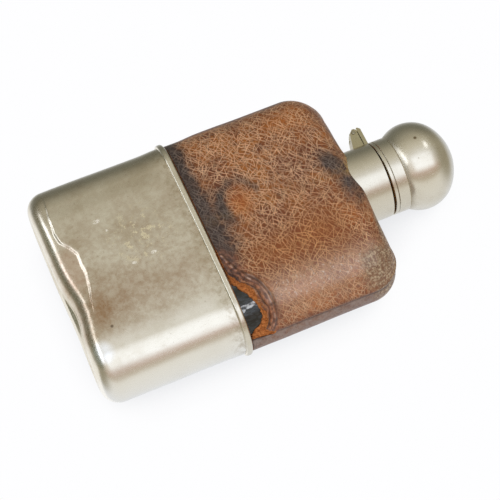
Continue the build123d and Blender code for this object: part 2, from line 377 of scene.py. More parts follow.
def simple_metal(name, dark, light, rough):
    """A plain worked metal with a mottled colour and turning marks."""
    material, s = new_material(name)
    at = s.place_mm()
    mottle = s.noise(at, 0.5, 4.0, 0.6)
    colour = s.mix(s.ramp(mottle, 0.3, 0.7), rgb(*dark), rgb(*light))
    rings = s.noise(s.place(at, (0.05, 0.05, 3.0)), 1.0, 2.0)
    roughness = s.plus(s.times(mottle, 0.2), rough)
    s.surface(Base_Color=colour, Metallic=1.0, Roughness=roughness, Normal=s.bumps(rings, 0.02))
    return material


# Bright nicks in the cup's front face: (x, z, size).
NICKS = ((-16.5, 19.2, 1.0), (1.5, 32.5, 0.8), (2.6, 25.2, 0.6), (-12.0, 21.0, 0.5))


def cup_marks(s, at, colour, roughness):
    """Brown film, blotches and nicks of the cup's front face, a darker band just under its rim, a painted
    pink reflection on the facet under its crease, and its whiter near side with a painted highlight at the
    lower corner.

    A spot on the face is round in a space squeezed by the factors of its place.
    """
    x, y, z = s.axes(at)
    front = s.times(s.ramp(y, -6.0, -11.0), s.ramp(x, 20.0, 27.0, 1.0, 0.0))

    # The film is mottled, thinner towards the far side and thicker low down on the near side.
    film = s.ramp(s.noise(at, 0.06, 4.0, 0.6), 0.30, 0.66, 0.06, 0.34)
    film = s.plus(film, s.ramp(s.noise(at, 0.55, 5.0, 0.7), 0.36, 0.64, -0.10, 0.14))
    low_cloud = s.spot(s.place(at, (1, 0.3, 0.6)), (12.0, -4.2, 13.0), 15.0, 0.1)
    smudge = s.spot(s.place(at, (1, 0.3, 1.3)), (14.0, -4.2, 12.0), 8.0, 0.2)
    film = s.plus(film, s.plus(s.times(low_cloud, 0.3), s.times(smudge, 0.25)))
    film = s.times(film, s.ramp(x, -36.0, 0.0, 0.35, 1.0))
    colour = s.mix(s.times(film, front, clamp=True), colour, rgb(158, 118, 78))

    # The painted pink reflection on the facet under the crease, the whiter near side, and a painted white
    # highlight at its lower corner.
    facet = s.spot(s.place(at, (0.45, 0.3, 1)), (-1.5, -4.2, 6.0), 4.6)
    colour = s.tint(colour, facet, 0.35, (206, 168, 146))
    colour = s.tint(colour, s.ramp(x, 31.0, 37.0), 0.75, (255, 253, 248))
    colour = s.mix(s.spot(at, (27.5, -12.6, 4.2), 5.0, 0.3), colour, rgb(255, 255, 255))

    # Pale ragged blotches, and a darker brown band just under the rim.
    patch = s.spot(s.place(at, (1, 0.3, 1)), (-6.0, -4.2, 31.0), 14.0, 0.35)
    ragged = s.ramp(s.noise(at, 0.36, 5.0, 0.72), 0.54, 0.60)
    blotch = s.times(s.times(patch, ragged), s.times(front, 0.75))
    colour = s.mix(blotch, colour, rgb(255, 244, 212))
    roughness = s.plus(roughness, s.times(blotch, 0.2))
    under_rim_band = s.times(s.ramp(z, RIM - 7.0, RIM - 2.0), s.ramp(s.noise(at, 0.5, 4.0, 0.7), 0.4, 0.7))
    colour = s.tint(colour, under_rim_band, 0.45, (150, 128, 88))

    chips = s.ramp(s.noise(at, 1.3, 2.0), 0.40, 0.52)
    for nick_x, nick_z, size in NICKS:
        nick = s.spot(s.place(at, (1.0, 0.2, 0.6)), (nick_x, -0.2 * HALF_DEPTH, 0.6 * nick_z), size)
        nick = s.times(nick, chips)
        colour = s.mix(nick, colour, rgb(255, 250, 240))
        roughness = s.plus(roughness, s.times(nick, 0.5))
    pit = s.spot(at, (20.5, -13.6, 10.4), 0.7, 0.4)
    return s.tint(colour, pit, 0.7, (90, 70, 50)), roughness


def ball_marks(s, at, colour, roughness):
    """One brown spot and a few pits on the cap's ball, and the rougher crease where it meets the band,
    darkened as painted shade.
    """
    colour = s.tint(colour, s.spot(at, (-2.7, -15.2, 129.0), 0.8, 0.4), 0.8, (110, 84, 46))
    colour = s.tint(colour, s.blots(at, 0.16, 0.02, 0.07), 0.4, (130, 112, 80))
    # Painted shade darkens the crease, which is also made rougher.
    crease = s.ramp(s.axes(at)[2], 121.0, 123.6, 1.0, 0.0)
    colour = s.tint(colour, crease, 0.4, (150, 138, 112))
    return colour, s.plus(roughness, s.ramp(crease, 0.0, 1.0, 0.02, 0.22))


def neck_marks(s, at, colour, roughness):
    """Fine turning lines round the neck, worn to a soft brushed band."""
    rings = s.noise(s.place(at, (0.04, 0.04, 4.0)), 1.0, 3.0, 0.7)
    return s.tint(colour, rings, 0.18, (150, 138, 112)), s.plus(roughness, 0.03)


# ---- Glass, cement and cork ----

# The glass is rippled, and carries a painted pale streak of reflection, above the cup's rim, where the tear
# bares it.
BARE_GLASS = (49.0, 50.5)
STREAK_X = 30.6


def dark_glass():
    """Bottle glass painted almost black, as painted shade of its dark inside, with dust and one painted pale
    streak of reflection.
    """
    material, s = new_material("dark_glass")
    at = s.place_mm()
    x, _, z = s.axes(at)
    bare = s.ramp(z, *BARE_GLASS)
    colour = s.tint(rgb(14, 17, 16), s.ramp(s.noise(at, 0.7, 4.0, 0.7), 0.5, 0.8), 0.25, (74, 72, 62))
    # A painted pale streak of reflection runs down the bare glass.
    sway = s.centred(s.noise(at, 0.22, 3.0), 4.0)
    from_streak = s.size(s.minus(s.plus(x, sway), STREAK_X))
    streak = s.times(s.ramp(from_streak, 0.8, 1.1, 1.0, 0.0), s.ramp(s.noise(at, 0.5, 2.0), 0.30, 0.48))
    colour = s.mix(s.times(streak, bare), colour, rgb(214, 218, 224))
    ripples = s.noise(s.place(at, (1, 1, 0.6)), 0.30, 2.0)
    s.surface(
        Base_Color=colour,
        Roughness=s.ramp(s.noise(at, 0.4, 3.0), 0.35, 0.7, 0.06, 0.32),
        Normal=s.bumps(s.times(ripples, s.ramp(bare, 0.0, 1.0, 0.08, 1.0)), 1.6),
        Specular_IOR_Level=0.5,
        Coat_Weight=0.6,
    )
    return material


def cement():
    """Off-white plaster between the neck and its collar."""
    material, s = new_material("white_cement")
    grit = s.noise(s.place_mm(), 1.4, 5.0, 0.7)
    colour = s.mix(grit, rgb(170, 160, 140), rgb(226, 218, 200))
    s.surface(Base_Color=colour, Roughness=0.95, Normal=s.bumps(grit, 0.15))
    return material


def cork():
    """Cork disc: tan with dark pores."""
    material, s = new_material("cork")
    at = s.place_mm()
    pores = s.blots(at, 0.8, 0.0, 0.28)
    colour = s.mix(s.ramp(s.noise(at, 0.9, 4.0, 0.7), 0.3, 0.7), rgb(140, 96, 58), rgb(196, 152, 104))
    colour = s.tint(colour, pores, 0.7, (74, 44, 26))
    s.surface(Base_Color=colour, Roughness=0.85, Normal=s.bumps(pores, 0.2))
    return material


# ---- Leather materials ----

# Families of pale strokes that cross: direction in degrees, spacing, length and width.
STROKES = (
    (-38, 1.5, 6.5, 0.155),
    (-46, 1.6, 5.0, 0.145),
    (-60, 1.7, 6.0, 0.15),
    (-88, 1.8, 4.5, 0.14),
    (34, 1.7, 5.5, 0.145),
    (58, 1.6, 4.5, 0.145),
)


def crazing(s, flat):
    """Pale hair lines all over the grain, fewer on the folds and on the worn sides with their painted sheen.
    """
    drift = s.node("ShaderNodeTexNoise", None, {"Vector": flat, "Scale": 0.16, "Detail": 1.0}).outputs[1]
    drift = s.vector_math("SCALE", {0: drift, "Scale": 2.4})[0]
    bent = s.vector_math("ADD", {0: flat, 1: drift})[0]
    lines = 0.0
    for turn, spacing, length, width in STROKES:
        lines = s.larger(s.strokes(bent, turn, spacing, length, width), lines)
    patchy = s.ramp(s.noise(flat, 0.13, 3.0, 0.6), 0.34, 0.56, 0.60, 1.0)
    bare = s.minus(1.0, s.times(s.larger(s.field("fold"), s.field("rubbed_and_sheen")), 0.5))
    return s.times(s.times(lines, patchy), bare)


def grain_colour(s, flat, lines, pits):
    """Golden brown with darker red clouds and small dark pits, under the pale hair lines."""
    colour = s.mix(s.ramp(s.noise(flat, 0.075, 4.0, 0.6), 0.38, 0.62), rgb(124, 62, 27), rgb(176, 102, 38))
    colour = s.mix(s.ramp(pits, 0.46, 0.66, 0.0, 0.7), colour, rgb(76, 36, 20))
    colour = s.tint(colour, s.ramp(s.noise(flat, 0.21, 5.0, 0.7), 0.50, 0.66), 0.40, (66, 30, 20))
    orange = s.field("orange")
    colour = s.tint(colour, orange, 0.7, (180, 90, 24))
    colour = s.tint(colour, s.field("dusk"), 0.42, (92, 40, 12))
    hair = s.mix(orange, rgb(252, 204, 162), rgb(238, 174, 112))
    return s.mix(s.times(lines, 0.92), colour, hair)


def stained(s, flat, lines, colour):
    """Black and blue-grey stain at the rim and the neck, with greyed hair lines left in it."""
    edge = s.plus(s.field("stain"), s.centred(s.noise(flat, 0.26, 5.0, 0.68), 1.1))
    grey = s.mix(s.ramp(edge, 0.5, 1.1), rgb(176, 136, 114), rgb(126, 116, 112))
    stain = s.mix(s.times(lines, 0.74), rgb(40, 33, 33), grey)
    return s.mix(s.times(s.ramp(edge, 0.08, 0.92), 0.92), colour, stain)


def folds_and_sheen(s, flat, colour):
    """The folds by the tear with painted highlights on their crests, and the burnished roll of the near side
    with a painted sheen and painted glints.
    """
    shade = s.mix(s.ramp(s.noise(flat, 0.6, 3.0), 0.38, 0.66), rgb(88, 40, 24), rgb(196, 128, 92))
    colour = s.mix(s.times(s.field("fold"), 0.85), colour, shade)
    # A painted pale sheen and painted glints on the near side's roll.
    gloss_and_sheen = s.field("gloss_and_sheen")
    painted_sheen = s.times(gloss_and_sheen, s.ramp(s.noise(flat, 0.5, 4.0, 0.6), 0.30, 0.70, 0.3, 0.8))
    colour = s.tint(colour, painted_sheen, 0.72, (228, 184, 154))
    glint = s.times(s.ramp(gloss_and_sheen, 0.5, 0.9), s.ramp(s.noise(flat, 0.9, 3.0, 0.6), 0.58, 0.68))
    colour = s.tint(colour, glint, 0.7, (250, 232, 216))
    # Painted highlights along the crests of the folds.
    painted_crest_highlight = s.times(s.field("painted_crest_highlight"), s.ramp(s.noise(flat, 0.3, 3.0, 0.6), 0.47, 0.62))
    return s.tint(colour, painted_crest_highlight, 0.7, (226, 200, 184))


def leather_grain():
    """Red-brown grain leather under a dense felt of pale hair lines, with its stains and worn edges, painted
    sheen and highlights, and painted shade in the grooves of its folds.
    """
    material, s = new_material("leather_grain")
    flat = s.flat()
    at = s.place_mm()
    lines = crazing(s, flat)
    pits = s.noise(flat, 0.95, 4.0, 0.65)
    colour = stained(s, flat, lines, grain_colour(s, flat, lines, pits))

    # Grey-purple edges: colour worn off, and a painted grey sheen where the sides turn away.
    rubbed_and_sheen = s.plus(s.field("rubbed_and_sheen"), s.centred(s.noise(flat, 0.4, 4.0, 0.6), 0.6))
    rubbed_and_sheen = s.ramp(rubbed_and_sheen, 0.25, 0.95)
    rub_and_sheen_colour = s.mix(s.times(lines, 0.7), rgb(104, 66, 52), rgb(192, 150, 128))
    colour = s.mix(s.times(rubbed_and_sheen, 0.75), colour, rub_and_sheen_colour)
    colour = folds_and_sheen(s, flat, colour)

    # Grey by the back half's seams, dust and a painted sheen where the side turns away, and the tan wear of
    # the shoulder.
    dust_and_sheen = s.times(s.field("dust_and_sheen"), s.ramp(s.noise(flat, 0.45, 4.0, 0.6), 0.32, 0.62, 0.25, 0.8))
    colour = s.mix(dust_and_sheen, colour, rgb(168, 150, 142))
    worn = s.plus(s.field("worn"), s.centred(s.noise(at, 0.35, 4.0, 0.65), 0.9))
    worn = s.ramp(worn, 0.42, 0.85)
    fleck = s.ramp(s.noise(at, 1.3, 3.0, 0.6), 0.42, 0.66)
    colour = s.mix(s.times(worn, 0.8), colour, s.mix(fleck, rgb(132, 94, 66), rgb(218, 196, 162)))

    # Dark cut edges and seams, painted shade in the grooves of the folds beside the tear, and pale fray round
    # the collar.
    colour = s.mix(s.field("edge"), colour, rgb(58, 34, 26))
    frayed = s.times(s.field("frayed"), s.ramp(s.noise(at, 1.0, 3.0), 0.40, 0.55))
    colour = s.mix(frayed, colour, rgb(206, 170, 104))

    height = s.plus(s.times(lines, 1.1), s.times(pits, 0.7))
    height = s.plus(height, s.times(s.noise(flat, 0.28, 2.0), 1.8))
    crust = s.times(s.plus(worn, s.times(rubbed_and_sheen, 0.4)), s.noise(at, 0.9, 3.0, 0.6))
    height = s.plus(height, s.times(crust, 3.0))
    shine = s.larger(s.times(s.field("fold"), 0.8), s.field("gloss_and_sheen"))
    roughness = s.plus(s.plus(s.times(pits, 0.2), s.times(lines, 0.12)), 0.34)
    s.surface(
        Base_Color=colour,
        Roughness=s.minus(roughness, s.times(shine, 0.16)),
        Normal=s.bumps(height, 0.18),
        Specular_IOR_Level=0.45,
        Coat_Weight=s.ramp(shine, 0.0, 1.0, 0.2, 1.0),
        Coat_Roughness=0.17,
    )
    return material


def leather_suede():
    """The fibrous inside of the leather, seen where it is torn and at its edges."""
    material, s = new_material("leather_suede")
    fibre = s.noise(s.place(s.place_mm(), (1, 1, 0.5), (20, 10, 40)), 1.6, 5.0, 0.7)
    colour = s.mix(s.ramp(fibre, 0.32, 0.68), rgb(146, 78, 34), rgb(234, 150, 86))
    s.surface(Base_Color=colour, Roughness=0.9, Normal=s.bumps(fibre, 0.5), Specular_IOR_Level=0.2)
    return material


# ---- The cup ----

CUP_WALL = 0.8
CUP_FILLET = 6.4
CUP_COLUMNS = 560

# The dished base: the ring's inner edge, the slope's depth and width, the flat and the middle line.
DISH_RING = 8.6
DISH_DEPTH = 1.0
DISH_SLOPE = 2.4
DISH_FLAT = 13.0
DISH_MIDDLE = 14.0

# The rim is eased over this height and inset, and the wall's rows are closer below WALL_BREAK.
RIM_DROP = 0.15
RIM_EASE = 0.25
WALL_BREAK = 12.0

# The knocked-in lower edge of the front: where its crease runs and how deep the step is.
CREASE_AT = (-38, -29, -18, -14, -11, -8, 0, 4, 9, 12, 16)
CREASE_Z = (6.6, 5.8, 4.9, 5.6, 7.6, 9.2, 9.3, 8.8, 7.1, 6.3, 5.6)
STEP_DEPTH = (0.1, 0.35, 0.45, 0.6, 0.75, 0.85, 0.9, 0.9, 0.7, 0.25, 0.0)


def arc_rows(centre_inset, centre_z, radius, start, end, count):
    """Profile points (inset, z) on an arc; 0 degrees points outward and -90 down."""
    turns = np.radians(np.linspace(start, end, count))
    return [(centre_inset - radius * math.cos(t), centre_z + radius * math.sin(t)) for t in turns]


def line_rows(a, b, count):
    """Profile points from a to b, without b."""
    return [tuple(np.array(a) + (np.array(b) - np.array(a)) * k / count) for k in range(count)]


def shell_profile(wall):
    """(inset, z) rows down the wall, round the fillet and in over the dish, wall inside the outer surface."""
    ring = DISH_RING - 0.35 * wall
    dish = wall + DISH_DEPTH
    rows = line_rows((wall, RIM - RIM_DROP), (wall, WALL_BREAK), 38)
    rows += line_rows((wall, WALL_BREAK), (wall, CUP_FILLET), 34)
    rows += arc_rows(CUP_FILLET, CUP_FILLET, CUP_FILLET - wall, 0, -90, 48)
    rows += line_rows((CUP_FILLET, wall), (ring, wall), 6)[1:]
    rows += line_rows((ring, wall), (ring + DISH_SLOPE, dish), 5)
    rows += line_rows((ring + DISH_SLOPE, dish), (DISH_FLAT, dish), 4)
    return rows + [(DISH_FLAT, dish)]


def dent_cup(travel, plan, normals, inset, z):
    """Plan points and heights of the cup after its knocks, slack corners and slight waves."""
    x, y = plan[..., 0], plan[..., 1]
    whole = 1 - smooth(6.4, 9.3, inset)
    facing = smooth(4.0, 10.0, -y)
    crease = np.interp(x, CREASE_AT, CREASE_Z) + 0.12 * fractal(x, x * 0, 3.5, seed=77, octaves=2)
    depth = np.interp(x, CREASE_AT, STEP_DEPTH)
    reach = 0.05 + 1.2 * depth
    step = depth * smooth(crease + reach, crease - reach, z)
    wave = 0.10 * fractal(x + 3 * y, z, 19.0, seed=5, octaves=2)
    wave = wave * smooth(0, 9, z) * smooth(RIM - 1, RIM - 12, z)
    push = (step * facing + slack(travel) * smooth(RIM - 1.5, RIM - 9.0, z) + wave) * whole
    lift = 1.7 * bump(x, 11.0, 9.5) * smooth(10.0, 2.0, z) * whole
    return plan - normals * push[..., None], z + lift


def build_cup(material, lining):
    """The drawn cup as one closed shell: outside down, across the dish, inside up and over the rim."""
    columns = CUP_COLUMNS
    travel = np.linspace(0, 4 * QUARTER, columns, endpoint=False)
    plan, normals = outline(travel)
    outer = [(RIM_EASE, RIM)] + shell_profile(0.0)
    inner = shell_profile(CUP_WALL)[::-1] + [(CUP_WALL - RIM_EASE, RIM)]
    middle = np.column_stack([np.clip(plan[:, 0], -SIDE_CENTRE, SIDE_CENTRE), np.zeros(columns)])
    points, flat, inside = [], [], []

    def add_row(spot, inset, height, lined):
        """One ring of points. The lining is dented as the outside beyond it is."""
        heights = np.full(columns, height)
        moved, z = dent_cup(travel, plan, normals, max(inset - CUP_WALL * lined, 0.0), heights)
        points.append(np.column_stack([spot + moved - plan, z]))
        flat.append(np.column_stack([travel, heights - inset]))
        inside.append(lined)

    for inset, height in outer:
        add_row(plan - normals * inset, inset, height, 0)
    add_row(middle, DISH_MIDDLE, outer[-1][1], 0)
    add_row(middle, DISH_MIDDLE, inner[0][1], 1)
    for inset, height in inner:
        add_row(plan - normals * inset, inset, height, 1)

    # Both middle rows are folded flat on the base's middle line, so nothing is drawn between them.
    count = len(points)
    keep = np.repeat(np.arange(count - 1) != len(outer), columns)
    walls = grid_faces(count, columns, closed=True, flip=True)[keep]
    wall_slots = np.repeat(inside[1:], columns)[keep]
    rim = grid_faces(2, columns, closed=True)
    rim = np.where(rim >= columns, rim + (count - 2) * columns, rim)
    faces = np.concatenate([walls, rim]).tolist()
    slots = np.concatenate([wall_slots, np.zeros(columns, int)])
    points, flat = np.concatenate(points), np.concatenate(flat)
    return make_object("cup_body", points, faces, [material, lining], flat, slots)


# ---- The leather: its shape ----

THICK = 1.25
SEAM = 3.5
SEAM_GAP = 0.03
NECK_HOLE = COLLAR_RADIUS + 0.12
LEATHER_COLUMNS = 620
LEATHER_ROWS = 380
EDGE_ROWS = 5

# The tear, by distance round from the +X side: where the glass is bare and where the grain ends.
TEAR_GLASS_AT = (0, 5.4, 7.5, 8.5, 10, 12, 14, 17, 19.5, 22.5, 25, 26.5)
TEAR_GLASS_Z = (50.9, 51.0, 52.8, 54.8, 56.0, 56.6, 56.7, 55.8, 55.4, 53.5, 51.9, 50.9)
TEAR_GRAIN_AT = (0, 1.1, 2, 5, 7.4, 9.65, 12.5, 15.8, 20.5, 23.2, 26.1, 29.1, 32.7)
TEAR_GRAIN_Z = (50.9, 53.4, 58.3, 59.4, 56.0, 57.6, 57.9, 57.2, 56.8, 55.4, 52.8, 51.5, 50.9)

# The ridges of the leather rolled back from the tear, by distance round.
ROLL_AT = (35.5, 29.5, 24.9, 22.1, 17.8, 13.6, 10.1, 6.8)
ROLL_Z = (51.8, 53.9, 56.8, 59.1, 60.3, 60.6, 60.1, 58.6)
SECOND_ROLL_AT = (27.5, 25.6, 22.2, 17.9, 14.4)
SECOND_ROLL_Z = (56.0, 58.3, 60.4, 61.5, 61.5)


def away_from(travel, z, path_at, path_z):
    """Distance of flat points from a path."""
    nearest = np.full(np.shape(travel), np.inf)
    path = list(zip(path_at, path_z))
    for (s0, z0), (s1, z1) in zip(path, path[1:]):
        length = (s1 - s0) ** 2 + (z1 - z0) ** 2
        t = np.clip(((travel - s0) * (s1 - s0) + (z - z0) * (z1 - z0)) / length, 0, 1)
        nearest = np.minimum(nearest, np.hypot(travel - s0 - t * (s1 - s0), z - z0 - t * (z1 - z0)))
    return nearest


def from_rolls(travel, z):
    """Distances of flat points from the two rolled ridges."""
    return away_from(travel, z, ROLL_AT, ROLL_Z), away_from(travel, z, SECOND_ROLL_AT, SECOND_ROLL_Z)


def tear_relief(travel, z):
    """(height, groove depth) of the folds beside the tear, steep outside and wrinkled towards the tear. The
    groove depth is used to paint shade into the grooves.
    """
    roll, second = from_rolls(travel, z)
    beyond = np.where(z > np.interp(travel, ROLL_AT[::-1], ROLL_Z[::-1]), roll, -roll)
    ridge = np.where(beyond > 0, bump(beyond, 0.0, 0.6), bump(beyond, 0.0, 2.6))
    ridge = ridge * (1 + 0.3 * fractal(travel, z, 4.0, seed=63, octaves=2))
    sway = 0.55 * fractal(travel, z, 4.5, seed=61, octaves=2)
    waves = np.cos(2 * np.pi * (beyond / 1.35 + sway)) * bump(beyond, -1.7, 1.7)
    height = 1.25 * ridge + 0.34 * waves + 0.7 * bump(second, 0.0, 0.6)
    groove = np.clip(-waves, 0, 1) + 0.8 * bump(beyond, 1.0, 0.4)
    return height, groove


def shoulder_height(x, y, inset):
    """Height of the leather's shoulder over a plan point: nearly square in front, rounder at the sides."""
    reach = 9.0 + 1.8 * smooth(20.0, 34.0, np.abs(x)) + 0.8 * smooth(-20.0, -34.0, x) - inset
    power = 2.0 + 0.6 * bump(x, 0.0, 16.0)
    run = np.clip(depth_inside(x, y) - inset, 0, None)
    rise = (1 - (1 - np.minimum(run / reach, 1)) ** power) ** (1 / power)
    return SHOULDER - inset - reach + reach * rise


def leather_paths(travel, low, inset):
    """(points, runs) of rows from the lower edge up the wall and over the shoulder to the neck.

    There is one column to each travel. A run is a point's distance along its column plus the height
    of the lower edge, so it equals z on the wall.
    """
    plan, normals = outline(travel)
    plan = plan - normals * inset
    heading = np.arctan2(plan[:, 1], plan[:, 0])
    hole = np.column_stack([np.cos(heading), np.sin(heading)]) * NECK_HOLE
    share = 1 - np.cos(np.linspace(0, math.pi / 2, 260))
    over = plan[None] + (hole - plan)[None] * share[:, None, None]
    z = shoulder_height(over[..., 0], over[..., 1], inset)
    if inset == 0:
        collar_gap = np.hypot(over[..., 0], over[..., 1]) - NECK_HOLE
        z = z + 0.8 * bump(collar_gap, 0.0, 1.6) * smooth(SHOULDER, SHOULDER - 2, z)
    foot = np.concatenate([plan, low[:, None]], -1)
    path = np.concatenate([foot[None], np.concatenate([over, z[..., None]], -1)])
    lengths = np.cumsum(np.linalg.norm(np.diff(path, axis=0), axis=-1), 0)
    lengths = np.concatenate([np.zeros((1, len(travel))), lengths])
    points = np.empty((LEATHER_ROWS, len(travel), 3))
    runs = np.empty((LEATHER_ROWS, len(travel)))
    for column, length in enumerate(lengths.T):
        at = np.linspace(0, 1, LEATHER_ROWS) * length[-1]
        runs[:, column] = at + low[column]
        for axis in range(3):
            points[:, column, axis] = np.interp(at, length, path[:, column, axis])
    return points, runs


def lower_edges(travel, torn):
    """Heights of a half's lower edge: of the opening over the glass, and of the end of the grain."""
    glass_edge = grain_edge = np.full(len(travel), LEATHER_FOOT)
    if torn:
        ragged = 0.22 * fractal(travel, travel * 0, 1.3, seed=21)
        fine = 0.16 * fractal(travel, travel * 0 + 9, 0.7, seed=27)
        glass_edge = np.interp(travel, TEAR_GLASS_AT, TEAR_GLASS_Z)
        grain_edge = np.interp(travel, TEAR_GRAIN_AT, TEAR_GRAIN_Z)
        glass_edge = glass_edge + (ragged + fine) * smooth(LEATHER_FOOT, LEATHER_FOOT + 1, glass_edge)
        grain_edge = grain_edge + (fine - ragged) * smooth(LEATHER_FOOT, LEATHER_FOOT + 1, grain_edge)
    return glass_edge, np.maximum(grain_edge, glass_edge + 0.3)


def swell(outer, runs, travel, lip, torn):
    """A half's outer points after its slight waves, its folds beside the tear and its sunk side seams."""
    s = np.broadcast_to(travel, runs.shape)
    from_seam = np.minimum(travel - travel[0], travel[-1] - travel)
    wall = 0.3 + 0.7 * smooth(97.0, 88.0, runs)
    lift = 0.10 * fractal(s, runs, 14.0, seed=31, octaves=2)
    lift = lift - (0.30 * bump(from_seam, 0.0, 0.5) + 0.5 * slack(travel)) * wall
    if torn:
        lift = lift + tear_relief(s, runs)[0] + 0.4 * lip
        lift = lift + 0.35 * bump(from_seam, 1.3, 0.8) * smooth(54.0, 64.0, runs)
    else:
        lift = lift - 0.7 * bump(from_seam, 0.0, 3.0) * wall
    upward = np.clip((runs - (SHOULDER - 10)) / 12, 0, 1)
    outward = np.zeros_like(outer)
    outward[..., :2] = outline(travel)[1] * (1 - 0.6 * upward)[..., None]
    outward[..., 2] = upward
    hold = smooth(0, 1.0, np.hypot(outer[..., 0], outer[..., 1]) - NECK_HOLE)
    return outer + outward * (lift * hold)[..., None]


def suede_rows(glass_row, grain_row, travel, bare):
    """Rows from the opening to the grain's edge. Where suede is bare it thins towards the glass."""
    plan, normals = outline(travel)
    bare_points = bare[:, None]
    rows = []
    for k in range(EDGE_ROWS, 0, -1):
        t = k / (EDGE_ROWS + 1)
        thin = THICK * (0.35 + 0.55 * t) * bare + THICK * t * (1 - bare)
        thin = thin - 0.12 * fractal(travel, travel * 0 + 30 * t, 0.9, seed=51, octaves=2) * bare
        direct = grain_row * (1 - t) + glass_row * t
        side = np.column_stack([plan - normals * thin[:, None], direct[:, 2]])
        rows.append(direct * (1 - bare_points) + side * bare_points)
    return np.array(rows)


def leather_faces():
    """(faces, slots) of a half: the skin, a strip at the neck, and the side seams with their feet."""
    rows, columns = LEATHER_ROWS, LEATHER_COLUMNS
    total = 2 * rows + EDGE_ROWS
    skin = grid_faces(total, columns)
    kinds = np.ones((total - 1, columns - 1), int)
    kinds[rows + EDGE_ROWS :] = 0
    last = (total - 1) * columns
    j = np.arange(columns - 1)
    neck = np.column_stack([last + j, last + j + 1, j + 1, j])
    seams, feet = [], []
    for column in (0, columns - 1):
        inner = (rows - 1 - np.arange(rows)) * columns + column
        outer = (rows + EDGE_ROWS + np.arange(rows)) * columns + column
        seams.append(np.column_stack([inner[:-1], inner[1:], outer[1:], outer[:-1]]))
        foot = (rows - 1 + np.arange(EDGE_ROWS + 2)) * columns + column
        feet.append(np.column_stack([np.full(EDGE_ROWS, foot[0]), foot[1:-1], foot[2:]]))
    quads = np.concatenate([skin, neck, seams[0][:, ::-1], seams[1]])
    faces = quads.tolist() + np.concatenate(feet).tolist()
    return faces, np.concatenate([kinds.ravel(), np.ones(len(faces) - len(skin), int)])


def build_leather(name, start, end, torn, grain, suede):
    """One half of the cover as a closed shell, from one side seam to the other."""
    travel = np.linspace(start, end, LEATHER_COLUMNS)
    glass_edge, grain_edge = lower_edges(travel, torn)
    bare = smooth(0.5, 2.0, grain_edge - glass_edge)
    inner, _ = leather_paths(travel, glass_edge, THICK)
    outer, runs = leather_paths(travel, grain_edge, 0.0)
    outer = swell(outer, runs, travel, smooth(2.0, 0.0, runs - grain_edge) * bare, torn)
    shell = np.concatenate([inner[::-1], suede_rows(inner[0], outer[0], travel, bare), outer])
    low_runs = np.broadcast_to(grain_edge, (len(shell) - len(outer), len(travel)))
    flat = np.stack([np.broadcast_to(travel, shell.shape[:2]), np.concatenate([low_runs, runs])], -1)
    points, flat = shell.reshape(-1, 3), flat.reshape(-1, 2)
    faces, slots = leather_faces()
    fields = leather_fields(points, flat, torn)
    return make_object(name, points, faces, [grain, suede], flat, slots, fields)


# ---- The leather: its masks ----


def patch(x, z, centre, size):
    """A soft oval hill of height 1."""
    return bump(x, centre[0], size[0]) * bump(z, centre[1], size[1])


def stain_mask(x, z, run, front):
    """Dark stains: along the lower edge, in an arc over it and below the neck."""
    rim = bump(run, LEATHER_FOOT, 5.4 + 1.6 * bump(x, -10.0, 8.0) + 4.2 * bump(x, 5.0, 11.0))
    ring = np.hypot((x + 4.5) / 1.2, z - 66.0)
    arc = bump(ring, 6.6, 1.9) * smooth(3.0, -4.0, x + 0.5 * (z - 66))
    neck = patch(x, z, (3.5, 102.5), (9.5, 5.5)) + 0.95 * patch(x, z, (-7.0, 98.5), (5.0, 5.0))
    stain = front * np.clip(1.15 * rim + 0.6 * arc + 0.88 * neck, 0, 1.15)
    clean = 0.95 * bump(x, 26.0, 9.0) * smooth(53.0, 57.0, z)
    return stain * (1 - clean) + (1 - front) * 0.6 * rim


def rubbed_and_sheen_mask(x, y, run):
    """Colour worn off, and a painted grey sheen, along the sides and round the shoulder."""
    side = np.abs(x)
    below = np.where(x > 0, y + 5.0, y + 9.0)
    rubbed_and_sheen = smooth(35.0, 40.2, side) * smooth(-2.0, 2.0, below)
    return rubbed_and_sheen + 0.45 * bump(run, SHOULDER + 2.0, 4.0) + 0.25 * smooth(33.0, 38.0, side)


def gloss_and_sheen_mask(x, run):
    """The burnished band beside the +X edge, which also carries a painted sheen and painted glints, and a
    weaker one outside it.
    """
    inner = bump(x, 29.5, 4.6) * smooth(56.0, 66.0, run) * smooth(107.0, 99.0, run)
    return inner + 0.35 * bump(x, 34.5, 4.0) * smooth(60.0, 66.0, run)


def worn_mask(x, z):
    """Grain worn away at the shoulder's corners."""
    worn = 1.15 * bump(x, 34.0, 8.0) * smooth(86.0, 99.0, z)
    worn = worn + 0.5 * bump(x, -28.0, 8.0) * smooth(99, 104, z)
    return worn + 0.85 * bump(x, 20.0, 8.0) * smooth(102.0, 105.5, z)


def orange_mask(x, z):
    """Patches of a warmer colour, strongest on the +X half."""
    orange = patch(x, z, (-4.0, 65.5), (5.0, 4.0)) + 0.8 * patch(x, z, (16.0, 85.0), (8.0, 12.0))
    orange = orange + 0.35 * patch(x, z, (-27.0, 93.0), (7.0, 9.0))
    orange = orange + 0.5 * patch(x, z, (17.0, 68.0), (6.0, 9.0))
    return orange + 0.22 * smooth(-6.0, 8.0, x)


